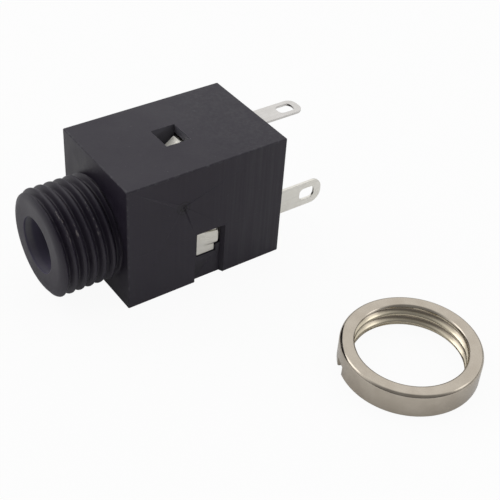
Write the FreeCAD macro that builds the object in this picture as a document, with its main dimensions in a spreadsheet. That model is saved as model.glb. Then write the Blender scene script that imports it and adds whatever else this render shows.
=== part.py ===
import FreeCAD, Part
import math
import os
import re

import Sketcher

# Quarter inch mono phone jack for panel mounting, with its round nut beside it.
# Frame: the origin is on the plug's axis at the front face of the box, where the panel
# sits. -X points out of the neck, +X to the solder tags, +Z up. Millimetres.

V = FreeCAD.Vector

SIZES = {
    # box of the housing, measured from the plug's axis
    "body_length": 20.0,
    "body_width": 13.8,
    "body_above": 8.5,
    "body_below": 7.0,
    "edge_radius": 0.15,
    # threaded neck and the bore for the plug
    "neck_dia": 12.0,
    "neck_length": 7.0,
    "nose_radius": 1.1,
    "bore_dia": 6.4,
    "mouth_chamfer": 0.45,
    "guide_depth": 2.0,
    "channel_room": 0.25,
    "channel_taper": 0.4,
    # hollow back: the tube round the plug channel and the pockets round the tube
    "core_wall": 1.15,
    "tube_wall": 0.95,
    "rib": 1.1,
    "pocket_front": 5.0,
    # strip that both contacts are stamped from, and its room in the housing
    "strip": 0.3,
    "seat_gap": 0.03,
    "edge_gap": 0.06,
    "flex_gap": 0.05,
    "side_gap": 0.28,
    "front_room": 0.9,
    "bend": 0.8,
    # tags, measured from the back of the box
    "plate_inset": 0.4,
    "tag_reach": 6.65,
    "eye_length": 2.1,
    "eye_width": 1.5,
    "eye_corner": 0.55,
    # window in the top
    "top_window_front": 7.85,
    "top_window_length": 3.0,
    # contact of the plug's sleeve: flat tag on top, arm sloping down to the front
    "top_skin": 1.0,
    "swing_room": 0.3,
    "sleeve_plate_width": 4.3,
    "sleeve_tag_width": 2.66,
    "sleeve_tag_corner": 1.0,
    "sleeve_eye_setback": 1.85,
    "sleeve_width": 2.84,
    "sleeve_hinge_setback": 0.75,
    "sleeve_knee_lead": 0.45,
    "sleeve_touch": 5.7,
    "sleeve_press": 0.7,
    "sleeve_flick_run": 1.4,
    "sleeve_flick_rise": 0.6,
    # recess and window in the near side
    "recess_front": 8.45,
    "recess_length": 3.85,
    "recess_depth": 0.55,
    "ledge": 0.52,
    "back_ledge": 0.1,
    "side_window_top": 0.25,
    "side_window_height": 3.62,
    "side_window_foot": 0.92,
    "side_window_step": 0.7,
    # contact of the plug's tip: upright tag, fold at the front, arm running back
    "side_skin": 1.17,
    "tip_drop": 1.22,
    "tip_plate_width": 5.05,
    "tip_tag_width": 3.2,
    "tip_tag_corner": 1.4,
    "tip_eye_setback": 2.05,
    "tip_plate_lead": 0.17,
    "tip_fold": 1.4,
    "tip_fold_bend": 0.6,
    "tip_fold_lead": 0.7,
    "tip_hinge_setback": 0.55,
    "tip_arm_drop": 0.3,
    "tip_arm_width": 2.6,
    # the plug's waist, where the tip arm rests, measured from the plug's shoulder
    "plug_waist": 25.65,
    "tip_slope_run": 2.25,
    "tip_knee_room": 0.75,
    "tip_press": 1.15,
    "tip_flick_run": 0.85,
    "tip_flick_press": 0.25,
    # raised catch of the tip contact, which stands in the side window
    "catch_gap": 0.12,
    "catch_rise": 0.35,
    "bead_short": 0.4,
    "bead_rise": 0.35,
    "bead_drop": 0.75,
    "bead_gap": 0.19,
    "bead_flat": 0.1,
    # mark of the ejector pin in the near side
    "pip_setback": 6.8,
    "pip_level": 4.06,
    "pip_dia": 0.5,
    "pip_depth": 0.2,
    # round nut for the neck's thread, and where it lies
    "thread_bite": 0.15,
    "nut_wall": 1.64,
    "nut_height": 3.0,
    "nut_lead": 0.2,
    "nut_edge": 0.2,
    "notch_width": 1.5,
    "notch_bite": 0.9,
    "notch_depth": 1.25,
    "notch_angle": 155.75,
    "nut_place": 20.54,
    "nut_aside": 29.4,
}

# Places that follow from the sizes, as expressions on them.
BORE = "(bore_dia / 2)"
CHANNEL = f"({BORE} + channel_room)"
PLATE_END = "(body_length - plate_inset)"
TAG_END = "(body_length + tag_reach)"

TOP_WINDOW_BACK = "(top_window_front + top_window_length)"
SLEEVE_LEVEL = "(body_above - top_skin - swing_room - strip / 2)"
SLEEVE_HALF = "(sleeve_width / 2 + side_gap)"
SLEEVE_HINGE = f"({TOP_WINDOW_BACK} + sleeve_hinge_setback)"
SLEEVE_END = "(sleeve_touch - sleeve_flick_run)"

RECESS_BACK = "(recess_front + recess_length)"
WINDOW_FRONT = "(recess_front + ledge)"
WINDOW_BACK = f"({RECESS_BACK} - back_ledge)"
WINDOW_BOTTOM = "(side_window_top + side_window_height)"
FOOT_BACK = f"({WINDOW_BACK} - side_window_step)"
FOOT_TOP = f"(side_window_foot - {WINDOW_BOTTOM})"
TIP_PLANE = "(body_width / 2 - side_skin - seat_gap - strip / 2)"
TIP_PLATE_FRONT = f"({WINDOW_FRONT} - tip_plate_lead)"
TIP_FOLD_FRONT = f"({TIP_PLATE_FRONT} - tip_fold_lead)"
TIP_HINGE = f"({TIP_PLATE_FRONT} + tip_hinge_setback)"
TIP_ARM_PLANE = f"({TIP_PLANE} - tip_fold)"
TIP_TOUCH = "(plug_waist - neck_length)"
TIP_ARM_ROOM = "(tip_arm_width / 2 + side_gap)"

doc = FreeCAD.newDocument("phone_jack")
sheet = doc.addObject("Spreadsheet::Sheet", "Sizes")
for row, (name, number) in enumerate(SIZES.items(), start=1):
    sheet.set(f"A{row}", name)
    sheet.set(f"B{row}", str(number))
    sheet.setAlias(f"B{row}", name)
doc.recompute()


def cells(text):
    """Expression on the sheet's cells, from an expression on their bare names."""
    return re.sub(r"[a-z][a-z_]*", lambda word: "Sizes." + word.group(), text)


def value(text):
    """Present value of an expression on the cells."""
    result = sheet.evalExpression(cells(text))
    return float(getattr(result, "Value", result))


def bind(item, prop, text):
    item.setExpression(prop, cells(text))


def new_body(label):
    body = doc.addObject("PartDesign::Body", label)
    body.Label = label
    return body


def new_sketch(body, plane, name, lift="0"):
    """Sketch on one of the body's own planes, lifted along the plane's normal."""
    sketch = body.newObject("Sketcher::SketchObject", name)
    base = next(item for item in body.Origin.OriginFeatures if item.Role == plane)
    sketch.AttachmentSupport = [(base, "")]
    sketch.MapMode = "FlatFace"
    bind(sketch, "AttachmentOffset.Base.z", lift)
    return sketch


def pin_point(sketch, geometry, end, across, up):
    """Hold one end of a line at a place given by two expressions."""
    for kind, text in (("DistanceX", across), ("DistanceY", up)):
        index = sketch.addConstraint(
            Sketcher.Constraint(kind, -1, 1, geometry, end, value(text)))
        bind(sketch, f"Constraints[{index}]", text)


def polygon(sketch, corners):
    """Closed outline through corners, each a pair of expressions."""
    points = [V(value(across), value(up), 0) for across, up in corners]
    count = len(points)
    first = sketch.GeometryCount
    for index in range(count):
        sketch.addGeometry(Part.LineSegment(points[index], points[(index + 1) % count]), False)
    for index in range(count):
        after = first + (index + 1) % count
        sketch.addConstraint(Sketcher.Constraint("Coincident", first + index, 2, after, 1))
        pin_point(sketch, first + index, 1, *corners[index])


def rectangle(sketch, left, right, bottom, top):
    polygon(sketch, [(left, bottom), (right, bottom), (right, top), (left, top)])


def circle(sketch, across, up, radius):
    """Circle round a point given by two expressions."""
    centre = V(value(across), value(up), 0)
    index = sketch.addGeometry(Part.Circle(centre, V(0, 0, 1), value(radius)), False)
    pin_point(sketch, index, 3, across, up)
    size = sketch.addConstraint(Sketcher.Constraint("Radius", index, value(radius)))
    bind(sketch, f"Constraints[{size}]", radius)


def add_pad(body, sketch, name, length, reverse=False, middle=False):
    pad = body.newObject("PartDesign::Pad", name)
    pad.Profile = sketch
    pad.Reversed = reverse
    pad.Midplane = middle
    bind(pad, "Length", length)
    return pad


def cut_pocket(body, sketch, name, depth, reverse=False):
    """Pocket that has to take material away."""
    doc.recompute()
    before = body.Shape.Volume
    pocket = body.newObject("PartDesign::Pocket", name)
    pocket.Profile = sketch
    pocket.Reversed = reverse
    bind(pocket, "Length", depth)
    doc.recompute()
    if body.Shape.Volume >= before:
        raise RuntimeError(f"{name} cuts nothing")
    return pocket


def round_edges(body, feature, name, radius, test):
    """Fillet on the feature's edges that pass a test of their middle point."""
    doc.recompute()
    names = []
    for index, edge in enumerate(feature.Shape.Edges, start=1):
        middle = edge.valueAt((edge.FirstParameter + edge.LastParameter) / 2)
        if test(edge, middle):
            names.append(f"Edge{index}")
    fillet = body.newObject("PartDesign::Fillet", name)
    fillet.Base = (feature, names)
    bind(fillet, "Radius", radius)
    return fillet


def bent_line(sketch, corners, radius):
    """Line through corners, each a pair of expressions, with every inner corner rounded."""
    points = [V(value(across), value(up), 0) for across, up in corners]
    size = value(radius)
    starts, ends, arcs = [points[0]], [], []
    for before, corner, after in zip(points, points[1:], points[2:]):
        back = (before - corner).normalize()
        ahead = (after - corner).normalize()
        half = back.getAngle(ahead) / 2
        reach = size / math.tan(half)
        enter = corner + back * reach
        leave = corner + ahead * reach
        centre = corner + (back + ahead).normalize() * (size / math.sin(half))
        first = math.atan2(enter.y - centre.y, enter.x - centre.x)
        last = math.atan2(leave.y - centre.y, leave.x - centre.x)
        turns_left = (corner - before).cross(after - corner).z > 0
        angles = (first, last) if turns_left else (last, first)
        arcs.append((centre, angles, turns_left))
        ends.append(enter)
        starts.append(leave)
    ends.append(points[-1])
    lines = [sketch.addGeometry(Part.LineSegment(start, end), False)
             for start, end in zip(starts, ends)]
    for place, (centre, angles, turns_left) in enumerate(arcs):
        ring = Part.Circle(centre, V(0, 0, 1), size)
        arc = sketch.addGeometry(Part.ArcOfCircle(ring, *angles), False)
        enter_end, leave_end = (1, 2) if turns_left else (2, 1)
        before, after = lines[place], lines[place + 1]
        sketch.addConstraint(Sketcher.Constraint("Tangent", before, 2, arc, enter_end))
        sketch.addConstraint(Sketcher.Constraint("Tangent", arc, leave_end, after, 1))
        index = sketch.addConstraint(Sketcher.Constraint("Radius", arc, size))
        bind(sketch, f"Constraints[{index}]", radius)
        corner = sketch.addGeometry(Part.Point(points[place + 1]), True)
        sketch.addConstraint(Sketcher.Constraint("PointOnObject", corner, 1, before))
        sketch.addConstraint(Sketcher.Constraint("PointOnObject", corner, 1, after))
        pin_point(sketch, corner, 1, *corners[place + 1])
    pin_point(sketch, lines[0], 1, *corners[0])
    pin_point(sketch, lines[-1], 2, *corners[-1])


def bend_strip(body, name, plane, lift, corners, radius, section):
    """Strip of one section (left, right, bottom, top) swept along a bent centre line.

    The line starts along the X axis, so its first section lies across that axis."""
    path = new_sketch(body, plane, name + "_line", lift)
    bent_line(path, corners, radius)
    start = new_sketch(body, "YZ_Plane", name + "_section", corners[0][0])
    rectangle(start, *section)
    doc.recompute()
    pipe = body.newObject("PartDesign::AdditivePipe", name)
    pipe.Profile = start
    pipe.Spine = (path, [f"Edge{index + 1}" for index in range(len(path.Shape.Edges))])
    return pipe


def make_housing():
    """Black moulding: box, threaded neck, cored back and the chambers of the contacts."""
    body = new_body("housing")

    outline = new_sketch(body, "YZ_Plane", "box_outline")
    rectangle(outline, "-body_width / 2", "body_width / 2", "-body_below", "body_above")
    box = add_pad(body, outline, "box", "body_length")
    round_edges(body, box, "box_edges", "edge_radius", lambda edge, middle: True)

    cores = new_sketch(body, "YZ_Plane", "core_outlines", "body_length")
    inner_side = "(body_width / 2 - core_wall)"
    inner_top = "(body_above - core_wall)"
    inner_bottom = "(core_wall - body_below)"
    top_rib = f"({SLEEVE_HALF} + rib)"
    side_roof = "(tip_plate_width / 2 - tip_drop + edge_gap + rib)"
    side_floor = f"-(tip_arm_drop + {TIP_ARM_ROOM} + rib)"
    side_back = f"({TIP_PLANE} - strip / 2 - seat_gap - rib)"
    rectangle(cores, f"-{inner_side}", f"-{top_rib}", side_roof, inner_top)
    rectangle(cores, top_rib, inner_side, "rib / 2", inner_top)
    rectangle(cores, "rib / 2", inner_side, inner_bottom, "-rib / 2")
    rectangle(cores, f"-{side_back}", "-rib / 2", inner_bottom, side_floor)
    cut_pocket(body, cores, "cores", "body_length - pocket_front")

    tube_outline = new_sketch(body, "YZ_Plane", "tube_outline", "pocket_front - rib")
    circle(tube_outline, "0", "0", f"{CHANNEL} + tube_wall")
    add_pad(body, tube_outline, "tube", "body_length - pocket_front + rib")

    neck_outline = new_sketch(body, "YZ_Plane", "neck_outline")
    circle(neck_outline, "0", "0", "neck_dia / 2")
    neck = add_pad(body, neck_outline, "neck", "neck_length", reverse=True)
    nose = value("-neck_length")
    round_edges(body, neck, "nose_edge", "nose_radius",
                lambda edge, middle: all(abs(v.X - nose) < 1e-6 for v in edge.Vertexes))

    bore = new_sketch(body, "XZ_Plane", "bore_profile")
    polygon(bore, [
        ("-neck_length", "0"),
        ("-neck_length", f"{BORE} + mouth_chamfer"),
        ("mouth_chamfer - neck_length", BORE),
        ("guide_depth", BORE),
        ("guide_depth + channel_taper", CHANNEL),
        ("body_length", CHANNEL),
        ("body_length", "0"),
    ])
    groove = body.newObject("PartDesign::Groove", "bore")
    groove.Profile = bore
    groove.ReferenceAxis = (bore, ["H_Axis"])
    groove.Angle = 360

    chamber = new_sketch(body, "YZ_Plane", "sleeve_chamber_outline", "body_length")
    rectangle(chamber, f"-{SLEEVE_HALF}", SLEEVE_HALF, "0", "body_above - top_skin")
    cut_pocket(body, chamber, "sleeve_chamber", f"body_length - {SLEEVE_END} + front_room")
    seat = new_sketch(body, "YZ_Plane", "sleeve_seat_outline", "body_length")
    rectangle(seat, "-sleeve_plate_width / 2 - edge_gap", "sleeve_plate_width / 2 + edge_gap",
              f"{SLEEVE_LEVEL} - strip / 2 - seat_gap", f"{SLEEVE_LEVEL} + strip / 2 + seat_gap")
    cut_pocket(body, seat, "sleeve_seat", f"body_length - {SLEEVE_HINGE} + edge_gap")
    window = new_sketch(body, "XY_Plane", "top_window_outline", "body_above")
    rectangle(window, "top_window_front", TOP_WINDOW_BACK, f"-{SLEEVE_HALF}", SLEEVE_HALF)
    cut_pocket(body, window, "top_window", "top_skin + swing_room")

    outer = "(side_skin - body_width / 2)"
    chamber = new_sketch(body, "YZ_Plane", "tip_chamber_outline", "body_length")
    rectangle(chamber, outer, "0",
              f"-tip_arm_drop - {TIP_ARM_ROOM}", f"-tip_arm_drop + {TIP_ARM_ROOM}")
    cut_pocket(body, chamber, "tip_chamber", f"body_length - {TIP_FOLD_FRONT} + front_room")
    seat = new_sketch(body, "YZ_Plane", "tip_seat_outline", "body_length")
    plate_room = "(tip_plate_width / 2 + edge_gap)"
    rectangle(seat, outer, f"-({TIP_PLANE} - strip / 2 - seat_gap)",
              f"-tip_drop - {plate_room}", f"-tip_drop + {plate_room}")
    cut_pocket(body, seat, "tip_seat", f"body_length - {TIP_PLATE_FRONT} + edge_gap")

    recess = new_sketch(body, "XZ_Plane", "recess_outline", "body_width / 2")
    rectangle(recess, "recess_front", RECESS_BACK, "-body_below", "-side_window_top")
    cut_pocket(body, recess, "recess", "recess_depth")
    window = new_sketch(body, "XZ_Plane", "side_window_outline", "body_width / 2")
    polygon(window, [
        (WINDOW_FRONT, f"-{WINDOW_BOTTOM}"), (FOOT_BACK, f"-{WINDOW_BOTTOM}"),
        (FOOT_BACK, FOOT_TOP), (WINDOW_BACK, FOOT_TOP),
        (WINDOW_BACK, "-side_window_top"), (WINDOW_FRONT, "-side_window_top"),
    ])
    cut_pocket(body, window, "side_window", f"body_width / 2 - {TIP_PLANE}")
    pip = new_sketch(body, "XZ_Plane", "pip_outline", "body_width / 2")
    circle(pip, "pip_setback", "pip_level", "pip_dia / 2")
    cut_pocket(body, pip, "pip", "pip_depth")
    return body


def tag_plate(body, name, plane, lift, front, middle, kind):
    """Flat part of a contact: the seated plate, the narrower tag and its wire eye."""
    outline = new_sketch(body, plane, name + "_outline", lift)
    plate_low = f"{middle} - {kind}_plate_width / 2"
    plate_high = f"{middle} + {kind}_plate_width / 2"
    tag_low = f"{middle} - {kind}_tag_width / 2"
    tag_high = f"{middle} + {kind}_tag_width / 2"
    polygon(outline, [
        (front, plate_low), (PLATE_END, plate_low), (PLATE_END, tag_low),
        (TAG_END, tag_low), (TAG_END, tag_high), (PLATE_END, tag_high),
        (PLATE_END, plate_high), (front, plate_high),
    ])
    plate = add_pad(body, outline, name, "strip", middle=True)
    tip = value(TAG_END)
    thickness = value("strip")

    def across_sheet(edge):
        return abs(edge.Length - thickness) < 1e-6

    round_edges(body, plate, name + "_end", f"{kind}_tag_corner",
                lambda edge, point: abs(point.x - tip) < 1e-6 and across_sheet(edge))
    eye = new_sketch(body, plane, name + "_eye_outline", f"{lift} + strip / 2")
    centre = f"({TAG_END} - {kind}_eye_setback)"
    rectangle(eye, f"{centre} - eye_length / 2", f"{centre} + eye_length / 2",
              f"{middle} - eye_width / 2", f"{middle} + eye_width / 2")
    hole = cut_pocket(body, eye, name + "_eye", "strip")
    middle_x, reach = value(centre), value("eye_length / 2")
    round_edges(body, hole, name + "_eye_corners", "eye_corner",
                lambda edge, point: (abs(abs(point.x - middle_x) - reach) < 1e-6
                                     and across_sheet(edge)))


def make_sleeve_contact():
    """Seated plate and flat tag of the contact that touches the plug's sleeve."""
    body = new_body("sleeve_contact")
    tag_plate(body, "sleeve_plate", "XY_Plane", SLEEVE_LEVEL, SLEEVE_HINGE, "0", "sleeve")
    return body


def make_sleeve_arm():
    """Arm of the sleeve contact: down to the front, a rounded touch, a flick up."""
    body = new_body("sleeve_contact_arm")
    corners = [
        (f"{SLEEVE_HINGE} - flex_gap", SLEEVE_LEVEL),
        (f"{TOP_WINDOW_BACK} - sleeve_knee_lead", SLEEVE_LEVEL),
        ("sleeve_touch", f"{BORE} - sleeve_press"),
        (SLEEVE_END, f"{BORE} + sleeve_flick_rise"),
    ]
    section = ("-sleeve_width / 2", "sleeve_width / 2",
               f"{SLEEVE_LEVEL} - strip / 2", f"{SLEEVE_LEVEL} + strip / 2")
    bend_strip(body, "sleeve_arm", "XZ_Plane", "0", corners, "bend", section)
    return body


def make_tip_contact():
    """Seated plate, upright tag, window catch and front fold of the tip contact."""
    body = new_body("tip_contact")
    tag_plate(body, "tip_plate", "XZ_Plane", TIP_PLANE, TIP_PLATE_FRONT, "-tip_drop", "tip")

    catch_front = f"({WINDOW_FRONT} + catch_gap)"
    catch_back = f"({FOOT_BACK} - edge_gap)"
    catch_low = f"(edge_gap - {WINDOW_BOTTOM})"
    catch_high = "(-side_window_top - edge_gap)"
    bead_back = f"({WINDOW_BACK} - bead_short)"
    bead_low = f"({FOOT_TOP} + bead_gap)"
    bead_high = f"({catch_high} - bead_drop)"
    catch = new_sketch(body, "XZ_Plane", "catch_outline", f"{TIP_PLANE} + strip / 2")
    rectangle(catch, catch_front, catch_back, catch_low, catch_high)
    add_pad(body, catch, "catch", "catch_rise")
    bead = new_sketch(body, "XZ_Plane", "bead_outline", f"{TIP_PLANE} + strip / 2")
    rectangle(bead, catch_front, bead_back, bead_low, bead_high)
    bead_pad = add_pad(body, bead, "bead", "catch_rise + bead_rise")
    back = value(bead_back)
    round_edges(body, bead_pad, "bead_end", f"({bead_high} - {bead_low} - bead_flat) / 2",
                lambda edge, point: (abs(point.x - back) < 1e-6
                                     and abs(edge.tangentAt(edge.FirstParameter).y) > 0.99))

    hollow = new_sketch(body, "XZ_Plane", "hollow_outline", f"{TIP_PLANE} - strip / 2")
    rectangle(hollow, f"{catch_front} + strip", f"{catch_back} - strip",
              f"{catch_low} + strip", f"{catch_high} - strip")
    cut_pocket(body, hollow, "hollow", "catch_rise", reverse=True)

    fold = [
        (TIP_PLATE_FRONT, f"-{TIP_PLANE}"),
        (TIP_FOLD_FRONT, f"-{TIP_PLANE}"),
        (TIP_FOLD_FRONT, f"-{TIP_ARM_PLANE}"),
        (f"{TIP_HINGE} - flex_gap", f"-{TIP_ARM_PLANE}"),
    ]
    section = (f"-{TIP_PLANE} - strip / 2", f"-{TIP_PLANE} + strip / 2",
               "-tip_arm_drop - tip_arm_width / 2", "-tip_arm_drop + tip_arm_width / 2")
    bend_strip(body, "tip_fold_strip", "XY_Plane", "-tip_arm_drop", fold,
               "tip_fold_bend", section)
    return body


def make_tip_arm():
    """Arm of the tip contact: along the plug to the back, a rounded touch, a flick out."""
    body = new_body("tip_contact_arm")
    corners = [
        (TIP_HINGE, f"-{TIP_ARM_PLANE}"),
        (f"{TIP_TOUCH} - tip_slope_run", f"-({BORE} + tip_knee_room)"),
        (TIP_TOUCH, f"-({BORE} - tip_press)"),
        (f"{TIP_TOUCH} + tip_flick_run", f"-({BORE} - tip_flick_press)"),
    ]
    section = (f"-{TIP_ARM_PLANE} - strip / 2", f"-{TIP_ARM_PLANE} + strip / 2",
               "-tip_arm_drop - tip_arm_width / 2", "-tip_arm_drop + tip_arm_width / 2")
    bend_strip(body, "tip_arm", "XY_Plane", "-tip_arm_drop", corners, "bend", section)
    return body


def make_nut():
    """Round nut with leads in its bore and two spanner notches, lying beside the jack."""
    body = new_body("ring_nut")
    inside = "(neck_dia / 2 - thread_bite)"
    outside = f"({inside} + nut_wall)"
    profile = new_sketch(body, "XZ_Plane", "nut_profile")
    polygon(profile, [
        (inside, "nut_lead"),
        (f"{inside} + nut_lead", "0"),
        (f"{outside} - nut_edge", "0"),
        (outside, "nut_edge"),
        (outside, "nut_height - nut_edge"),
        (f"{outside} - nut_edge", "nut_height"),
        (f"{inside} + nut_lead", "nut_height"),
        (inside, "nut_height - nut_lead"),
    ])
    ring = body.newObject("PartDesign::Revolution", "ring")
    ring.Profile = profile
    ring.ReferenceAxis = (profile, ["V_Axis"])
    ring.Angle = 360
    notch = new_sketch(body, "XY_Plane", "notch_outline")
    bind(notch, "AttachmentOffset.Rotation.Angle", "notch_angle")
    for side in ("", "-"):
        rectangle(notch, f"{side}({outside} - notch_bite)", f"{side}2 * {outside}",
                  "-notch_width / 2", "notch_width / 2")
    cut_pocket(body, notch, "spanner_notches", "notch_depth", reverse=True)
    bind(body, "Placement.Base.x", "nut_place")
    bind(body, "Placement.Base.y", "-nut_aside")
    bind(body, "Placement.Base.z", "-body_below")
    return body


NODES = [
    make_housing(),
    make_tip_contact(),
    make_tip_arm(),
    make_sleeve_contact(),
    make_sleeve_arm(),
    make_nut(),
]
doc.recompute()

for item in doc.Objects:
    if "Invalid" in item.State or "Error" in item.State:
        raise RuntimeError(f"{item.Name} failed: {item.State}")
for body in NODES:
    shape = body.Shape
    if shape.isNull() or not shape.isValid() or len(shape.Solids) != 1:
        raise RuntimeError(f"{body.Label} is not one valid solid")

os.makedirs("parts", exist_ok=True)
for body in NODES:
    body.Shape.exportStep(f"parts/{body.Label}.step")
    print(f"{body.Label}: {body.Shape.Volume:.2f} mm3")
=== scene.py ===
import math

import bmesh
import bpy
from mathutils import Matrix, Vector


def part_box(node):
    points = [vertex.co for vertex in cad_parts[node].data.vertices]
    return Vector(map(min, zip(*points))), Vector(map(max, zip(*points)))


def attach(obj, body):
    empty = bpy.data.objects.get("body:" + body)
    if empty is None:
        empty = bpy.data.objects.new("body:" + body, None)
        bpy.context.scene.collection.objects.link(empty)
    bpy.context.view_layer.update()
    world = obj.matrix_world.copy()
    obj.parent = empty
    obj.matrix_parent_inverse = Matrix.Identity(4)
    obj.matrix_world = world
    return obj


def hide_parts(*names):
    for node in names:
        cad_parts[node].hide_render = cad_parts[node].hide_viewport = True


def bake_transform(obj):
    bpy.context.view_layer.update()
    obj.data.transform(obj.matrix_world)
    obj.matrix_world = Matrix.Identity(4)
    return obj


# Quarter inch phone jack with its round nut beside it.
# The origin is on the plug's axis at the front face of the box; -X out of the neck, +Z up.
# Sizes and places are in millimetres, and MM turns them into Blender's metres.

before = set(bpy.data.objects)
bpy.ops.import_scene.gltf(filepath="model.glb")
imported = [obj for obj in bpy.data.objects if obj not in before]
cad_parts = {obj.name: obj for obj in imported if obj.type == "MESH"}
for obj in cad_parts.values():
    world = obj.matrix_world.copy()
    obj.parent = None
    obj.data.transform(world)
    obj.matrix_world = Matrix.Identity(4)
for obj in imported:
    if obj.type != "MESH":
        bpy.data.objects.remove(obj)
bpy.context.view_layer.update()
MM = 0.001

# The housing's box and the nut's, from their CAD nodes.
HOUSING_LOW, HOUSING_HIGH = [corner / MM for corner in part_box("housing")]
NUT_LOW, NUT_HIGH = [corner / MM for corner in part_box("ring_nut")]
NUT_MIDDLE = (NUT_LOW + NUT_HIGH) / 2
SIDE = HOUSING_HIGH.y
TOP = HOUSING_HIGH.z
BOTTOM = HOUSING_LOW.z
BACK = HOUSING_HIGH.x
NOSE = HOUSING_LOW.x

# The neck with its bore, and the thread on the neck and in the nut.
BORE_R = 3.2
NECK_R = 6.0
THREAD_PITCH = 1.12
NUT_BORE_R = 5.85
NUT_GROOVE_R = 6.32

# The walls of the window in the top, and the ejector pin's mark in the near side.
WINDOW_FRONT, WINDOW_BACK, WINDOW_SIDE = 7.85, 10.85, 1.70
PIN_X, PIN_Z = 6.8, 4.06

# The contacts' strip, its rounded edges, the tags' ends and the crease in the side window.
STRIP = 0.3
STRIP_EDGE = 0.035
TAG_END = BACK + 6.65
CREASE_Z = -0.80

# The ground lies just under the box, and points nearer than WELD are taken as one.
FLOOR = BOTTOM - 0.02
WELD = 0.0001


# Small helpers

def new_object(name, content):
    """Object in the scene with a mesh, curve, lamp or camera as its content."""
    piece = bpy.data.objects.new(name, content)
    bpy.context.scene.collection.objects.link(piece)
    return piece


def mesh_from(name, verts, faces):
    """Mesh from points in millimetres."""
    mesh = bpy.data.meshes.new(name)
    mesh.from_pydata([Vector(point) * MM for point in verts], [], faces)
    mesh.validate()
    return mesh


def mesh_of(name, work):
    """Mesh from a bmesh, which is used up."""
    mesh = bpy.data.meshes.new(name)
    work.to_mesh(mesh)
    work.free()
    return mesh


def weld(mesh, flat=None):
    """Join points in one place and, up to the angle asked for, flat neighbours; face outward."""
    work = bmesh.new()
    work.from_mesh(mesh)
    bmesh.ops.remove_doubles(work, verts=work.verts[:], dist=WELD * MM)
    if flat:
        bmesh.ops.dissolve_limit(work, angle_limit=math.radians(flat), verts=work.verts[:],
                                 edges=work.edges[:])
    bmesh.ops.recalc_face_normals(work, faces=work.faces[:])
    work.to_mesh(mesh)
    work.free()


def cut_with(work, place, normal, **settings):
    """Cut a bmesh with a plane."""
    bmesh.ops.bisect_plane(work, geom=work.verts[:] + work.edges[:] + work.faces[:],
                           plane_co=place, plane_no=normal, **settings)


def shade(piece, angle):
    """Smooth faces, with edges sharper than the angle kept sharp."""
    mesh = piece.data
    weld(mesh)
    mesh.polygons.foreach_set("use_smooth", [True] * len(mesh.polygons))
    mesh.set_sharp_from_angle(angle=math.radians(angle))
    modifier = piece.modifiers.new("flat_faces", "WEIGHTED_NORMAL")
    modifier.keep_sharp = True
    modifier.weight = 90


def join(name, pieces):
    """One object from several, all meshes in world place."""
    whole = bmesh.new()
    for piece in pieces:
        whole.from_mesh(piece.data)
        bpy.data.objects.remove(piece)
    return new_object(name, mesh_of(name, whole))


def subtract(piece, cutter):
    """Take one object's shape out of another's and remove the cutter."""
    modifier = piece.modifiers.new("cut", "BOOLEAN")
    modifier.operation = "DIFFERENCE"
    modifier.solver = "EXACT"
    modifier.object = cutter
    graph = bpy.context.evaluated_depsgraph_get()
    mesh = bpy.data.meshes.new_from_object(piece.evaluated_get(graph))
    piece.modifiers.clear()
    piece.data = mesh
    bpy.data.objects.remove(cutter)


def coat(piece, material):
    """Give a piece one material."""
    piece.data.materials.clear()
    piece.data.materials.append(material)


def smoothstep(low, high, number):
    """Eased share of the way from low to high."""
    share = min(1.0, max(0.0, (number - low) / (high - low)))
    return share * share * (3 - 2 * share)


def spaced(first, step, count):
    """Numbers one step apart."""
    return [first + step * index for index in range(count)]


def turned_mesh(name, rows, steps, place):
    """Mesh of rows turned round an axis, the last row joined to the first.

    The function place gives the point of a row's values at an angle."""
    verts = [place(*row, 2 * math.pi * step / steps) for row in rows for step in range(steps)]
    faces = []
    for row in range(len(rows)):
        following = (row + 1) % len(rows)
        for step in range(steps):
            beside = (step + 1) % steps
            faces.append((row * steps + step, row * steps + beside,
                          following * steps + beside, following * steps + step))
    return mesh_from(name, verts, faces)


def thread_cut(reach, angle, crest_reach, crest_angle, crest, root):
    """Depth share of a vee thread, 0 on the crest and 1 at the root, rounded at both.

    One crest's place along the axis and its angle are given; crest and root are the shares
    of the pitch that each takes up."""
    turns = (angle - crest_angle) / (2 * math.pi)
    phase = ((reach - crest_reach) / THREAD_PITCH - turns) % 1.0
    off_root = abs(phase - 0.5) * 2
    share = 1 - (off_root - root) / (1 - crest - root)
    rounding = 0.12
    return smoothstep(-rounding, 1 + rounding, share)


# Materials

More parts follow.
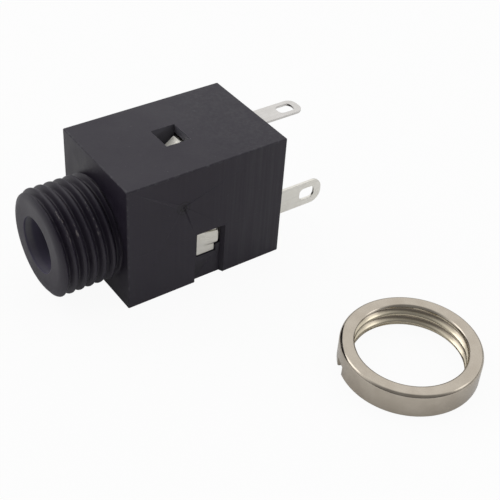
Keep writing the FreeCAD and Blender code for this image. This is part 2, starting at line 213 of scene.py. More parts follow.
class NodeMaterial:
    """Short hand for a node material; x, y and z are the object's own coordinates in metres."""

    def __init__(self, name):
        self.material = bpy.data.materials.new(name)
        self.material.use_nodes = True
        self.tree = self.material.node_tree
        self.shader = self.tree.nodes["Principled BSDF"]
        self.place = self.add("ShaderNodeTexCoord").outputs["Object"]
        axes = self.add("ShaderNodeSeparateXYZ")
        self.link(self.place, axes.inputs[0])
        self.x, self.y, self.z = axes.outputs

    def add(self, kind, **settings):
        node = self.tree.nodes.new(kind)
        for name, setting in settings.items():
            setattr(node, name, setting)
        return node

    def link(self, source, target):
        self.tree.links.new(source, target)

    def feed(self, target, source):
        """Set a socket to a number, or link it to another socket."""
        if isinstance(source, (int, float)):
            target.default_value = source
        else:
            self.link(source, target)

    def math(self, operation, first, second=0.0):
        node = self.add("ShaderNodeMath", operation=operation)
        self.feed(node.inputs[0], first)
        self.feed(node.inputs[1], second)
        return node.outputs[0]

    def plus(self, first, second):
        return self.math("ADD", first, second)

    def times(self, product, *factors):
        for factor in factors:
            product = self.math("MULTIPLY", product, factor)
        return product

    def larger(self, first, second):
        return self.math("MAXIMUM", first, second)

    def absolute(self, source):
        return self.math("ABSOLUTE", source)

    def away(self, source, middle):
        """Source less a place in millimetres."""
        return self.math("SUBTRACT", source, middle * MM)

    def distance(self, first, second):
        """Long side of the right triangle on two short ones."""
        return self.math("SQRT", self.plus(self.times(first, first), self.times(second, second)))

    def noise(self, scale, detail, rough, stretch=None):
        """Cloudy pattern, stretched by a factor for each axis where one is given."""
        node = self.add("ShaderNodeTexNoise")
        node.inputs["Scale"].default_value = scale
        node.inputs["Detail"].default_value = detail
        node.inputs["Roughness"].default_value = rough
        place = self.place
        if stretch:
            mapping = self.add("ShaderNodeMapping")
            mapping.inputs["Scale"].default_value = stretch
            self.link(place, mapping.inputs["Vector"])
            place = mapping.outputs[0]
        self.link(place, node.inputs["Vector"])
        return node.outputs["Fac"]

    def span(self, source, low, high, to_low=0.0, to_high=1.0):
        """Source from low..high to another range, clamped and eased."""
        node = self.add("ShaderNodeMapRange", interpolation_type="SMOOTHSTEP")
        self.feed(node.inputs["Value"], source)
        node.inputs["From Min"].default_value = low
        node.inputs["From Max"].default_value = high
        node.inputs["To Min"].default_value = to_low
        node.inputs["To Max"].default_value = to_high
        return node.outputs[0]

    def run(self, source, low, high, to_low=0.0, to_high=1.0):
        """A span whose low and high are places in millimetres."""
        return self.span(source, low * MM, high * MM, to_low, to_high)

    def line(self, source, middle, half):
        """1 on a thin band round a place in millimetres, 0 away from it."""
        return self.run(self.absolute(self.away(source, middle)), 0.0, half, 1.0, 0.0)

    def within(self, mask, *runs):
        """Mask that also rises from 0 to 1 over each run: a source, low and high."""
        return self.times(mask, *[self.run(source, low, high) for source, low, high in runs])

    def mix(self, factor, under, over):
        """Two colours, each a tuple or a socket, mixed by a factor."""
        node = self.add("ShaderNodeMix", data_type="RGBA")
        self.feed(node.inputs["Factor"], factor)
        for socket, colour in ((node.inputs["A"], under), (node.inputs["B"], over)):
            if isinstance(colour, tuple):
                socket.default_value = (*colour, 1.0)
            else:
                self.link(colour, socket)
        return node.outputs["Result"]

    def cover(self, base, mask, strength, colour):
        """Base with a colour over it where the mask is 1, at most as strong as asked."""
        return self.mix(self.times(mask, strength), base, colour)

    def bump(self, height, distance, strength, under=None):
        """Normal bumped by a height of so many millimetres, on top of another normal."""
        node = self.add("ShaderNodeBump")
        self.feed(node.inputs["Strength"], strength)
        node.inputs["Distance"].default_value = distance * MM
        self.link(height, node.inputs["Height"])
        if under is not None:
            self.link(under, node.inputs["Normal"])
        return node.outputs["Normal"]

    def finish(self, base, roughness, normal, plain):
        """The material, with what varies linked and what is the same all over set plainly."""
        self.link(base, self.shader.inputs["Base Color"])
        self.link(roughness, self.shader.inputs["Roughness"])
        self.link(normal, self.shader.inputs["Normal"])
        for name, number in plain.items():
            self.shader.inputs[name].default_value = number
        return self.material


def box_edges(look):
    """1 along the box's edges, where two of its faces are near at once, and 0 elsewhere."""
    reach, fade = 0.30, 0.05
    side = look.run(look.absolute(look.y), SIDE - reach, SIDE)
    top = look.run(look.z, TOP - reach, TOP)
    bottom = look.run(look.z, BOTTOM + reach, BOTTOM)
    back = look.run(look.x, BACK - reach, BACK)
    front = look.times(look.run(look.x, reach, 0.0), look.run(look.x, -fade, 0.0))
    level = look.larger(top, bottom)
    end = look.larger(back, front)
    return look.larger(look.times(side, level), look.times(end, look.larger(side, level)))


def add_bore_light(look, base):
    """Painted light in the bore near its mouth, with a paler band just behind it, weaker low down.
    """
    pale_tone, lit_band = (0.147, 0.133, 0.195), (0.275, 0.275, 0.275)
    across = look.distance(look.y, look.z)
    bore = look.times(look.run(across, BORE_R + 0.005, BORE_R + 0.025, 1.0, 0.0),
                      look.run(look.x, -1.0, -3.0))
    base = look.cover(base, bore, 0.8, pale_tone)
    band = look.within(bore, (look.x, NOSE + 1.15, NOSE + 0.65), (look.x, NOSE + 0.08, NOSE + 0.34))
    band = look.times(band, look.run(look.z, -2.9, 0.0, 0.35, 1.0))
    return look.cover(base, band, 0.7, lit_band)


def add_painted_glints(look, base):
    """Painted glints: bright specks on the thread's crests, on the upper near side of the neck."""
    glint_colour = (0.17, 0.15, 0.15)
    glints = look.span(look.noise(1, detail=3, rough=0.6, stretch=(2800, 900, 900)), 0.57, 0.66)
    glints = look.within(glints, (look.y, -0.8, -1.6), (look.y, -5.4, -4.8), (look.z, 1.4, 2.4),
                        (look.x, -1.5, -2.5),
                        (look.distance(look.y, look.z), NECK_R - 0.14, NECK_R - 0.07))
    return look.mix(glints, base, glint_colour)


def add_window_light(look, base):
    """Painted light on the walls of the window in the top, fading out from 6 down to 5 mm up."""
    pale_tone = (0.150, 0.145, 0.170)
    outer, inner = 0.020, 0.005
    walls = look.run(look.absolute(look.y), WINDOW_SIDE + outer, WINDOW_SIDE + inner)
    walls = look.within(walls, (look.z, 5.0, 6.0),
                        (look.x, WINDOW_FRONT - outer, WINDOW_FRONT - inner),
                        (look.x, WINDOW_BACK + outer, WINDOW_BACK + inner))
    return look.cover(base, walls, 0.9, pale_tone)


def add_pin_mark(look, base):
    """The ejector pin's mark: darker round its pit, with a faint dark ring further out, and a paler
    pit.
    """
    dark, pale_tone = (0.004, 0.003, 0.005), (0.065, 0.058, 0.072)
    away = look.distance(look.away(look.x, PIN_X), look.away(look.z, PIN_Z))
    near_side = look.run(look.y, 0.5 - SIDE, 0.4 - SIDE)
    ring = look.times(look.line(away, 0.76, 0.16), 0.6)
    darkened_round = look.larger(look.run(away, 0.30, 0.64, 1.0, 0.0), ring)
    base = look.mix(look.times(darkened_round, near_side), base, dark)
    pit = look.run(away, 0.25, 0.26, 1.0, 0.0)
    return look.mix(look.times(pit, near_side), base, pale_tone)


def moulded_plastic():
    """Black moulded plastic: grain, flow streaks, a parting line, rubbed edges with a painted
    highlight.
    """
    deep, black = (0.0176, 0.0130, 0.0248), (0.0231, 0.0180, 0.0308)
    streaked, rubbed_and_highlit, speckled = (0.040, 0.038, 0.048), (0.12, 0.12, 0.13), (0.10, 0.10, 0.11)
    look = NodeMaterial("moulded_plastic")
    grain = look.noise(9000, detail=4, rough=0.6)
    mottle = look.noise(420, detail=4, rough=0.6)
    sweep = look.noise(60, detail=2, rough=0.5)
    streaks = look.span(look.noise(1, detail=4, rough=0.65, stretch=(2600, 2600, 60)), 0.38, 0.66)
    streaks = look.times(streaks, look.run(look.x, 8, 17, 0.2, 1.0))
    # edges rubbed paler, and paler still as a painted highlight along them
    wear_and_highlight = look.times(box_edges(look), look.span(look.noise(1300, detail=5, rough=0.7), 0.48, 0.66))
    specks = look.span(look.noise(2300, detail=1, rough=0.4), 0.76, 0.80)

    base = look.mix(look.span(mottle, 0.3, 0.7), deep, black)
    base = look.cover(base, streaks, 0.45, streaked)
    base = look.cover(base, wear_and_highlight, 0.50, rubbed_and_highlit)
    base = look.cover(base, specks, 0.25, speckled)
    # painted light in the bore and on the top window's walls, and painted glints on the thread
    base = add_bore_light(look, base)
    base = add_painted_glints(look, base)
    base = add_window_light(look, base)
    base = add_pin_mark(look, base)

    rough = look.plus(look.span(sweep, 0.3, 0.7, 0.40, 0.50),
                      look.span(mottle, 0.3, 0.7, -0.04, 0.05))
    rough = look.plus(rough, look.times(wear_and_highlight, 0.12))
    rough = look.plus(rough, look.times(streaks, -0.03))

    # the parting line is just below the plug's axis, left out across the middle of the ends
    parting = look.times(look.line(look.z, -0.2, 0.07), look.run(look.absolute(look.y), 2.9, 3.0))
    normal = look.bump(grain, 0.012, 0.55)
    normal = look.bump(mottle, 0.05, 0.35, normal)
    normal = look.bump(parting, 0.02, 0.3, normal)
    return look.finish(base, rough, normal, {"IOR": 1.49, "Specular IOR Level": 0.46})


def plated_strip():
    """Silvery plated spring strip, rolled along its length, a little tarnished, with painted shade
    in a crease.
    """
    kept_dull, kept_bright = (0.94, 0.915, 0.835), (0.97, 0.95, 0.885)
    aired_dull, aired_bright = (0.715, 0.695, 0.67), (0.775, 0.755, 0.73)
    rolled_dark, crease_shade = (0.67, 0.65, 0.62), (0.05, 0.045, 0.04)
    look = NodeMaterial("plated_strip")
    rolled = look.noise(1, detail=4, rough=0.65, stretch=(260, 5200, 5200))
    cloud = look.noise(700, detail=3, rough=0.6)
    fine = look.noise(7000, detail=2, rough=0.5)

    # duller in the open air behind the housing, less so on the near tag
    open_air = look.times(look.run(look.x, 13, 19), look.run(look.y, -4.5, -2.5, 0.15, 1.0))
    patches = look.span(cloud, 0.35, 0.7)
    base = look.mix(open_air, look.mix(patches, kept_dull, kept_bright),
                    look.mix(patches, aired_dull, aired_bright))
    base = look.cover(base, look.span(rolled, 0.45, 0.75), 0.30, rolled_dark)

    # painted shade: a dark line in the crease over the bead in the side window
    crease = look.within(look.line(look.z, CREASE_Z, 0.09), (look.y, -5.8, -5.9),
                         (look.x, 9.7, 10.2), (look.x, 11.6, 11.45))
    base = look.cover(base, crease, 0.9, crease_shade)

    # the arm under the top window is rougher and pressed into a shallow trough
    arm = look.times(look.run(look.z, 4.0, 5.5), look.run(look.x, 10.75, 10.55))
    rough = look.plus(look.span(cloud, 0.3, 0.7, 0.30, 0.38),
                      look.span(rolled, 0.3, 0.7, -0.05, 0.08))
    rough = look.plus(rough, look.times(arm, 0.12))
    trough_per_mm = 0.25
    trough = look.times(look.y, look.y, trough_per_mm / MM ** 2)
    normal = look.bump(rolled, 0.006, 0.5)
    normal = look.bump(fine, 0.004, 0.4, normal)
    normal = look.bump(trough, 1.0, arm, normal)
    return look.finish(base, rough, normal, {"Metallic": 1.0})


def plated_nut():
    """Nickel over turned brass: warm grey, tumbled faces, fine scratches, brassy thread, shaded
    grooves.
    """
    grey_dark, grey = (0.52, 0.462, 0.388), (0.58, 0.522, 0.442)
    scratched = (0.60, 0.57, 0.52)
    brassy, groove_shade = (0.70, 0.63, 0.48), (0.24, 0.20, 0.17)
    look = NodeMaterial("plated_nut")
    radius = look.distance(look.away(look.x, NUT_MIDDLE.x), look.away(look.y, NUT_MIDDLE.y))
    rings = look.add("ShaderNodeTexNoise", noise_dimensions="1D")
    rings.inputs["Scale"].default_value = 5200
    rings.inputs["Detail"].default_value = 4
    look.link(radius, rings.inputs["W"])
    cloud = look.noise(520, detail=4, rough=0.6)
    pits = look.noise(4200, detail=3, rough=0.6)
    scratch = look.noise(1, detail=3, rough=0.6, stretch=(900, 7000, 2500))

    base = look.mix(look.span(cloud, 0.3, 0.7), grey_dark, grey)
    base = look.cover(base, look.span(scratch, 0.60, 0.80), 0.20, scratched)
    inside = look.times(look.run(radius, NUT_GROOVE_R + 0.18, NUT_GROOVE_R + 0.38, 0.75, 0.0),
                        look.run(look.z, NUT_HIGH.z - 0.2, NUT_HIGH.z - 0.4))
    base = look.mix(inside, base, brassy)
    # painted shade in the thread's grooves
    shaded_grooves = look.within(inside, (radius, NUT_BORE_R + 0.15, NUT_GROOVE_R - 0.04))
    base = look.mix(shaded_grooves, base, groove_shade)

    rough = look.plus(look.span(cloud, 0.3, 0.7, 0.13, 0.20),
                      look.span(pits, 0.3, 0.7, -0.02, 0.03))
    normal = look.bump(rings.outputs["Fac"], 0.002, 0.30)
    normal = look.bump(pits, 0.003, 0.25, normal)
    normal = look.bump(scratch, 0.002, 0.25, normal)
    return look.finish(base, rough, normal, {"Metallic": 1.0})


def paper_floor():
    """White ground: shows white to the camera and to metal, with the object's shadow on it."""
    camera_share, glossy_share = 0.94, 0.12
    look = NodeMaterial("paper_floor")
    base = look.mix(look.noise(900, detail=3, rough=0.5), (0.88, 0.88, 0.88), (0.92, 0.92, 0.92))
    look.link(base, look.shader.inputs["Base Color"])
    look.shader.inputs["Roughness"].default_value = 0.9
    look.shader.inputs["Specular IOR Level"].default_value = 0.1
    rays = look.add("ShaderNodeLightPath").outputs
    seen = look.times(look.larger(rays["Is Camera Ray"], rays["Is Transmission Ray"]), camera_share)
    seen = look.plus(seen, look.times(rays["Is Glossy Ray"], glossy_share))
    glow = look.add("ShaderNodeEmission")
    glow.inputs["Color"].default_value = (1.0, 1.0, 1.0, 1.0)
    glow.inputs["Strength"].default_value = 1.0
    blend = look.add("ShaderNodeMixShader")
    look.link(seen, blend.inputs[0])
    look.link(look.shader.outputs[0], blend.inputs[1])
    look.link(glow.outputs[0], blend.inputs[2])
    look.link(blend.outputs[0], look.tree.nodes["Material Output"].inputs["Surface"])
    return look.material


# The housing

def box_without_neck():
    """The moulding's box as it is in the frame, cut off just before its front face."""
    work = bmesh.new()
    work.from_mesh(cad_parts["housing"].data)
    cut_with(work, (-0.0005 * MM, 0, 0), (1, 0, 0), clear_inner=True)
    bmesh.ops.remove_doubles(work, verts=work.verts[:], dist=WELD * MM)
    return new_object("box", mesh_of("box", work))


def neck_rows():
    """Rows of the neck from the box's face over the nose and down the bore: x, radius, threaded."""
    # the neck's root draws in just in front of the box's face
    rows = [(0.0, NECK_R + 0.02, False), (-0.001, NECK_R - 0.10, False),
            (-0.02, NECK_R - 0.22, False)]
    thread_start, rows_per_pitch = -0.05, 20
    nose_length, nose_drop, nose_power = 0.62, 1.25, 0.85
    count = int(-NOSE / THREAD_PITCH * rows_per_pitch)
    length = NOSE + nose_length - thread_start
    rows += [(thread_start + length * index / count, NECK_R, True) for index in range(count + 1)]

    # a wide rounding, the flat end, the mouth's small rounding and the bore
    count = 14
    for index in range(1, count + 1):
        turn = math.radians(90 * index / count)
        rows.append((NOSE + nose_length - nose_length * math.sin(turn),
                     NECK_R - nose_drop * (1 - math.cos(turn)) ** nose_power, True))
    mouth_face, mouth, count = 0.10, 0.02, 4
    rows.append((NOSE, BORE_R + mouth_face, False))
    for index in range(count + 1):
        turn = math.radians(90 * index / count)
        rows.append((NOSE + mouth * (1 - math.cos(turn)), BORE_R + mouth * (1 - math.sin(turn)),
                     False))
    start, count = NOSE + mouth, 12
    rows += [(start - start * index / count, BORE_R, False) for index in range(1, count + 1)]
    return rows


def neck_shell():
    """Threaded neck with its bore, closed at the box's face, where that doesn't show."""
    crest_x, crest_angle, depth = -4.52, math.radians(133), 0.60
    relief_front, relief_back, relief = -0.35, -0.05, 0.25
    thread_end = -0.10

    def place(x, radius, threaded, angle):
        if threaded:
            cut = thread_cut(x, angle, crest_x, crest_angle, crest=0.16, root=0.07)
            radius = min(radius, NECK_R - depth * cut * smoothstep(0.0, thread_end, x),
                         NECK_R - relief * smoothstep(relief_front, relief_back, x))
        return x, radius * math.cos(angle), radius * math.sin(angle)

    return new_object("neck", turned_mesh("neck", neck_rows(), steps=240, place=place))


def recess_draft():
    """Slope on the back wall of the recess in the near side."""
    wall, foot, behind = 12.30, 12.02, 12.35
    low, high = BOTTOM + 0.01, -0.26
    face, floor = 0.01 - SIDE, 0.555 - SIDE
    outline = [(behind, face + 0.02), (wall, face), (foot, floor), (behind, floor)]
    verts = [(x, y, z) for z in (low, high) for x, y in outline]
    faces = [(3, 2, 1, 0), (4, 5, 6, 7), (0, 1, 5, 4), (1, 2, 6, 5), (2, 3, 7, 6), (3, 0, 4, 7)]
    return new_object("draft", mesh_from("draft", verts, faces))


def make_housing():
    """The whole moulding as one piece."""
    housing = join("housing_moulding", [box_without_neck(), neck_shell(), recess_draft()])
    shade(housing, angle=32)
    return housing


# The nut

def nut_rows(outer, height, lead):
    """Rows of the nut, up outside and down inside: radius, height, threaded."""
    def rim(z, round_r, first_quarter, count):
        """Quarter turn on the outer rim, with the centre of its rounding at a height."""
        angles = spaced(math.radians(90) * first_quarter, math.radians(90) / count, count + 1)
        return [(outer - round_r + round_r * math.cos(angle), z + round_r * math.sin(angle), False)
                for angle in angles]

    low_round, high_round = 0.22, 0.48
    rows = rim(low_round, low_round, first_quarter=-1, count=6)
    rows += rim(height - high_round, high_round, first_quarter=0, count=12)
    turns = spaced(0.0, math.radians(9), 11)
    curve = [(NUT_BORE_R + lead * (1 - math.sin(turn)), lead * (1 - math.cos(turn)))
             for turn in turns]
    rows += [(radius, height - down, True) for radius, down in curve]
    straight, rows_per_pitch = height - 2 * lead, 22
    count = int(straight / THREAD_PITCH * rows_per_pitch)
    rows += [(NUT_BORE_R, height - lead - straight * index / count, True)
             for index in range(1, count)]
    rows += [(radius, down, True) for radius, down in reversed(curve)]
    return rows


def spanner_notches(outer):
    """Blocks for the two blind notches in the lower rim, opposite each other."""
    bite, width, depth = 0.9, 1.5, 1.25
    block, first_side = 4.0, 155.75
    work = bmesh.new()
    for side in (first_side, first_side + 180):
        made = bmesh.ops.create_cube(work, size=1.0)
        place = (Matrix.Translation(Vector((NUT_MIDDLE.x, NUT_MIDDLE.y, NUT_LOW.z)) * MM)
                 @ Matrix.Rotation(math.radians(side), 4, "Z")
                 @ Matrix.Translation(Vector((outer + block / 2 - bite, 0, 0)) * MM)
                 @ Matrix.Diagonal((block * MM, width * MM, 2 * depth * MM, 1.0)))
        bmesh.ops.transform(work, matrix=place, verts=made["verts"])
    return new_object("notches", mesh_of("notches", work))


def make_nut():
    """Round nut with its inner thread, leads, rounded rims and two spanner notches below."""
    inside_cad = 0.004
    outer = (NUT_HIGH.y - NUT_LOW.y) / 2 - inside_cad
    height = NUT_HIGH.z - NUT_LOW.z
    lead = 0.46
    crest_z, crest_angle = 1.64, math.radians(52)

    def place(radius, z, threaded, angle):
        if threaded:
            cut = thread_cut(z, angle, crest_z, crest_angle, crest=0.16, root=0.16)
            cut *= smoothstep(0.0, lead, min(z, height - z))
            radius = max(radius, NUT_BORE_R + (NUT_GROOVE_R - NUT_BORE_R) * cut)
        return (NUT_MIDDLE.x + radius * math.cos(angle), NUT_MIDDLE.y + radius * math.sin(angle),
                NUT_LOW.z + z)

    rows = nut_rows(outer, height, lead)
    nut = new_object("nut_ring", turned_mesh("nut_ring", rows, steps=288, place=place))
    subtract(nut, spanner_notches(outer))
    shade(nut, angle=34)
    return nut


# The contacts

def corner_arc(before, corner, after, radius, steps=None):
    """Points of the arc that rounds a corner, in steps of about 6 degrees if none are given."""
    back = (before - corner).normalized()
    ahead = (after - corner).normalized()
    half = back.angle(ahead) / 2
    reach = radius / math.tan(half)
    centre = corner + (back + ahead).normalized() * (radius / math.sin(half))
    first = corner + back * reach - centre
    last = corner + ahead * reach - centre
    sweep = first.angle_signed(last)
    steps = steps or max(4, int(abs(sweep) / math.radians(6)))
    points = []
    for index in range(steps + 1):
        spoke = first.copy()
        spoke.rotate(Matrix.Rotation(-sweep * index / steps, 2))
        points.append(centre + spoke)
    return points


def rounded_path(points, radii):
    """Points along a bent line, each inner corner rounded by its radius."""
    points = [Vector(point) for point in points]
    path = points[:1]
    for before, corner, after, radius in zip(points, points[1:], points[2:], radii):
        path += corner_arc(before, corner, after, radius)
    return path + points[-1:]


def rounded_outline(corners):
    """Closed outline from corners, each given as two coordinates and its radius."""
    places = [Vector(corner[:2]) for corner in corners]
    outline = []
    for index, (across, up, radius) in enumerate(corners):
        if radius:
            following = places[(index + 1) % len(places)]
            outline += corner_arc(places[index - 1], places[index], following, radius, steps=8)
        else:
            outline.append(Vector((across, up)))
    return outline


def path_lengths(path):
    """How far along the path each of its points lies."""
    lengths = [0.0]
    for start, end in zip(path, path[1:]):
        lengths.append(lengths[-1] + (end - start).length)
    return lengths


def place_along(path, lengths, reach):
    """Place and direction at a length along the path, whose first run goes on before its start."""
    index = 0
    while index < len(path) - 2 and lengths[index + 1] < reach:
        index += 1
    step = path[index + 1] - path[index]
    share = (reach - lengths[index]) / max(step.length, 1e-9)
    return path[index] + step * share, step.normalized()


def flat_sheet(name, outlines, thickness, edge):
    """Sheet in the XY plane from closed outlines, the first outside and the rest holes.

    Its edges are rounded by the radius edge."""
    curve = bpy.data.curves.new(name, "CURVE")
    curve.dimensions = "2D"
    curve.fill_mode = "BOTH"
    curve.extrude = (thickness / 2 - edge) * MM
    curve.bevel_depth = edge * MM
    curve.bevel_resolution = 2
    curve.offset = -edge * MM
    for outline in outlines:
        spline = curve.splines.new("POLY")
        spline.points.add(len(outline) - 1)
        for point, (across, up) in zip(spline.points, outline):
            point.co = (across * MM, up * MM, 0.0, 1.0)
        spline.use_cyclic_u = True
    shape = new_object(name + "_curve", curve)
    bpy.context.view_layer.update()
    graph = bpy.context.evaluated_depsgraph_get()
    mesh = bpy.data.meshes.new_from_object(shape.evaluated_get(graph))
    bpy.data.objects.remove(shape)
    weld(mesh, flat=0.5)
    return mesh


def cut_across(mesh, across=(), up=()):
    """Cut a flat sheet at places across it and up it, so that it can bend there."""
    work = bmesh.new()
    work.from_mesh(mesh)
    for place in across:
        cut_with(work, (place * MM, 0, 0), (1, 0, 0))
    for place in up:
        cut_with(work, (0, place * MM, 0), (0, 1, 0))
    work.to_mesh(mesh)
    work.free()


def wire_eye(across, up):
    """Outline of a tag's hole for the wire: a short slot with rounded corners."""
    length, width, round_r = 2.1 / 2, 1.5 / 2, 0.55
    return rounded_outline([
        (across + length, up - width, round_r), (across + length, up + width, round_r),
        (across - length, up + width, round_r), (across - length, up - width, round_r)])


def strip_outline(front, tail, middle, plate_width, tag_width, tag_round, arm_middle, arm_width):
    """Outline of a contact's flat pattern: the tag, the plate and the arm before it is bent."""
    plate_end = BACK - 0.4
    inner_round, shoulder_round, plate_round, arm_round = 0.12, 0.25, 0.2, 0.35
    plate, tag, arm = plate_width / 2, tag_width / 2, arm_width / 2
    return rounded_outline([
        (TAG_END, middle - tag, tag_round), (TAG_END, middle + tag, tag_round),
        (plate_end, middle + tag, inner_round), (plate_end, middle + plate, shoulder_round),
        (front, middle + plate, plate_round), (front, arm_middle + arm, inner_round),
        (tail, arm_middle + arm, arm_round), (tail, arm_middle - arm, arm_round),
        (front, arm_middle - arm, inner_round), (front, middle - plate, plate_round),
        (plate_end, middle - plate, shoulder_round), (plate_end, middle - tag, inner_round)])


def bend_sheet(mesh, path, upright):
    """Bend a flat sheet along a path that starts in line with the part that stays flat.

    A sheet that lies down is bent in XZ, and an upright one in XY."""
    lengths = path_lengths(path)
    for vertex in mesh.vertices:
        across, up, out = vertex.co / MM
        point, heading = place_along(path, lengths, path[0].x - across)
        normal = Vector((heading.y, -heading.x))
        if upright:
            bent = point - normal * out
            place = (bent.x, bent.y, up)
        else:
            bent = point + normal * out
            place = (bent.x, up, bent.y)
        vertex.co = Vector(place) * MM


def contact_strip(name, path, upright, eye_inset, cuts, **widths):
    """Mesh of one stamped strip: a flat tag with its eye, a plate, and an arm along the path.

    The cuts are the places along the arm where it may bend."""
    front = path[0].x
    outline = strip_outline(front, front - path_lengths(path)[-1], **widths)
    eye = wire_eye(TAG_END - eye_inset, widths["middle"])
    mesh = flat_sheet(name, [outline, eye], STRIP, STRIP_EDGE)
    cut_across(mesh, across=[front - cut for cut in cuts])
    bend_sheet(mesh, path, upright)
    return mesh


def make_sleeve_piece():
    """Contact of the plug's sleeve, one strip: flat tag, plate, arm and rounded touch."""
    level = 7.05
    path = rounded_path([(11.6, level), (10.62, level), (9.4, 6.13), (5.7, 2.5), (4.3, 3.8)],
                        (0.4, 2.0, 0.8))
    spacing = 0.2
    cuts = spaced(0.0, spacing, int(path_lengths(path)[-1] / spacing) + 1)
    mesh = contact_strip("sleeve_strip", path, upright=False, eye_inset=1.85, cuts=cuts,
                         middle=0.0, plate_width=4.3, tag_width=2.66, tag_round=1.0,
                         arm_middle=0.0, arm_width=2.84)
    piece = new_object("sleeve_strip", mesh)
    shade(piece, angle=40)
    return piece


def catch_outline():
    """Outline of the patch in the side window; its tongue is the end of a squared ellipse."""
    front, back, tongue_x, low, high = 9.03, 11.40, 11.34, -3.78, -0.28
    tongue_z, tongue_reach, tongue_half, square = -1.82, 0.35, 0.98, 2 / 3
    tongue = []
    for degrees in range(-68, 90, 22):
        turn = math.radians(degrees)
        rise = math.copysign(abs(math.sin(turn)) ** square, turn)
        tongue.append((tongue_x + tongue_reach * math.cos(turn) ** square,
                       tongue_z + tongue_half * rise, 0))
    return rounded_outline([(front, low, 0.06), (tongue_x, low, 0.15),
                            (tongue_x, tongue_z - tongue_half, 0.04), *tongue,
                            (back, high, 0.10), (front, high, 0.08)])


def window_catch(plane):
    """Patch of the tip contact that stands in the side window, creased and with a rolled bead."""
    thickness, edge, stand_out = 0.5, 0.05, 0.55
    swell, crease_depth = 0.27, 0.15
    mesh = flat_sheet("catch", [catch_outline()], thickness, edge)

    # the last cuts lie close together round the crease
    cut_across(mesh, across=spaced(9.2, 0.15, 18),
               up=spaced(-3.7, 0.12, 22) + spaced(-1.14, 0.03, 19))
    for vertex in mesh.vertices:
        across, up, out = vertex.co / MM
        rise = 0.0
        if out > 0:
            crease = smoothstep(9.7, 10.3, across) * smoothstep(0.10, 0.02, abs(up - CREASE_Z))
            bead = smoothstep(9.55, 11.3, across) * smoothstep(-2.86, -2.50, up)
            rise = swell * bead * (1 - crease) - crease_depth * crease
        y = -(plane + STRIP / 2 + stand_out - thickness / 2 + out + rise)
        vertex.co = Vector((across, y, up)) * MM
    return new_object("catch", mesh)


def make_tip_piece():
    """Contact of the plug's tip, one strip: upright tag, plate, front fold and long arm."""
    front, plane, fold_length, fold_gap = 8.8, 5.55, 0.7, 1.4
    path = rounded_path([(front, -plane), (front - fold_length, -plane),
                         (front - fold_length, fold_gap - plane), (16.4, -3.95), (18.65, -2.05),
                         (19.5, -2.95)], (0.6, 0.6, 0.8, 0.8))

    # close cuts in the fold, and none at the plate's front, where the outline's corners end
    fine_reach, fine, coarse = 3.6, 0.12, 0.3
    count = int((path_lengths(path)[-1] - fine_reach) / coarse) + 1
    cuts = spaced(fine, fine, round(fine_reach / fine) - 1) + spaced(fine_reach, coarse, count)
    mesh = contact_strip("tip_strip", path, upright=True, eye_inset=2.05, cuts=cuts,
                         middle=-1.22, plate_width=5.05, tag_width=3.2, tag_round=1.4,
                         arm_middle=-0.3, arm_width=2.6)
    piece = join("tip_strip", [new_object("strip", mesh), window_catch(plane)])
    shade(piece, angle=40)
    return piece


# The object

plastic = moulded_plastic()
silver = plated_strip()

housing = make_housing()
coat(housing, plastic)
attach(housing, "jack")
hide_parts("housing")

nut = make_nut()
coat(nut, plated_nut())
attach(nut, "jack")
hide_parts("ring_nut")

sleeve_piece = make_sleeve_piece()
coat(sleeve_piece, silver)
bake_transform(sleeve_piece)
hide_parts("sleeve_contact", "sleeve_contact_arm")

tip_piece = make_tip_piece()
coat(tip_piece, silver)
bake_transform(tip_piece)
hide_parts("tip_contact", "tip_contact_arm")


# Ground, light and camera

def make_ground():
    """Flat paper under the object, far larger than the view."""
    reach = 900
    corners = [(-reach, -reach, FLOOR), (reach, -reach, FLOOR), (reach, reach, FLOOR),
               (-reach, reach, FLOOR)]
    ground = new_object("ground", mesh_from("ground", corners, [(0, 1, 2, 3)]))
    coat(ground, paper_floor())
    return ground


def soft_light(name, place, target, size, power):
    """Round area lamp at a place, turned towards a target; its power is in watts."""
    lamp = bpy.data.lights.new(name, "AREA")
    lamp.shape = "DISK"
    lamp.size = size * MM
    lamp.energy = power
    piece = new_object(name, lamp)
    piece.location = Vector(place) * MM
    piece.rotation_euler = (Vector(target) - Vector(place)).to_track_quat("-Z", "Y").to_euler()


def sky_share(tree, towards, heading, low, high, to_low, to_high):
    """How bright the sky is by how far a direction leans to a heading."""
    lean = tree.nodes.new("ShaderNodeVectorMath")
    lean.operation = "DOT_PRODUCT"
    lean.inputs[1].default_value = Vector(heading).normalized()
    tree.links.new(towards, lean.inputs[0])
    share = tree.nodes.new("ShaderNodeMapRange")
    share.interpolation_type = "SMOOTHSTEP"
    tree.links.new(lean.outputs["Value"], share.inputs["Value"])
    for name, number in (("From Min", low), ("From Max", high),
                         ("To Min", to_low), ("To Max", to_high)):
        share.inputs[name].default_value = number
    return share.outputs[0]


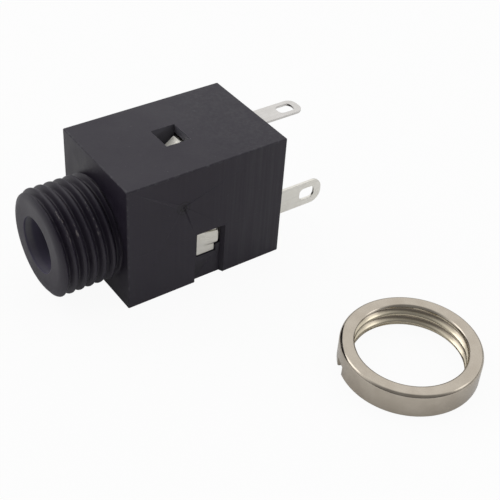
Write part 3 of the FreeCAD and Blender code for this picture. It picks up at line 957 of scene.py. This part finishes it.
def make_sky():
    """Studio sky: bright above, dimmer low down and on the near side, plain white to the camera."""
    white = (1.0, 1.0, 1.0, 1.0)
    world = bpy.data.worlds.new("studio")
    bpy.context.scene.world = world
    world.use_nodes = True
    tree = world.node_tree
    towards = tree.nodes.new("ShaderNodeTexCoord").outputs["Generated"]
    sky = tree.nodes.new("ShaderNodeMath")
    sky.operation = "MULTIPLY"
    near_side = sky_share(tree, towards, (-0.55, -0.75, 0.35), 0.25, 0.75, 0.92, 0.25)
    overhead = sky_share(tree, towards, (0, 0, 1), 0.04, 0.36, 0.25, 1.0)
    tree.links.new(near_side, sky.inputs[0])
    tree.links.new(overhead, sky.inputs[1])
    studio = tree.nodes["Background"]
    studio.inputs["Color"].default_value = white
    tree.links.new(sky.outputs[0], studio.inputs["Strength"])
    plain = tree.nodes.new("ShaderNodeBackground")
    plain.inputs["Color"].default_value = white
    plain.inputs["Strength"].default_value = 1.0
    rays = tree.nodes.new("ShaderNodeLightPath")
    choice = tree.nodes.new("ShaderNodeMixShader")
    tree.links.new(rays.outputs["Is Camera Ray"], choice.inputs[0])
    tree.links.new(studio.outputs[0], choice.inputs[1])
    tree.links.new(plain.outputs[0], choice.inputs[2])
    tree.links.new(choice.outputs[0], tree.nodes["World Output"].inputs["Surface"])


def make_camera():
    """Camera at the photograph's angle, solved from the box's corners and the neck's ellipses."""
    turn, rise, roll = math.radians(-37.661), math.radians(38.801), math.radians(4.28)
    place = (-42.63, -82.84, 71.75)
    back = Vector((math.sin(turn) * math.cos(rise), -math.cos(turn) * math.cos(rise),
                   math.sin(rise)))
    level = Vector((math.cos(turn), math.sin(turn), 0))
    upright = back.cross(level)
    right = level * math.cos(roll) + upright * math.sin(roll)
    up = upright * math.cos(roll) - level * math.sin(roll)
    camera = bpy.data.cameras.new("camera")
    camera.sensor_width = 36
    camera.lens = 77.25
    camera.clip_start = 0.002
    camera.clip_end = 10
    viewer = new_object("camera", camera)
    viewer.matrix_world = Matrix.Translation(Vector(place) * MM) @ (
        Matrix((right, up, back)).transposed().to_4x4())
    return viewer


ground = make_ground()
soft_light("key", place=(-165, 216, 225), target=(6, -2, 4), size=200, power=0.12)
soft_light("fill", place=(215, -200, 190), target=(15, -20, 0), size=120, power=0.03)
make_sky()
bpy.context.scene.camera = make_camera()
bpy.context.scene.view_settings.view_transform = "Standard"
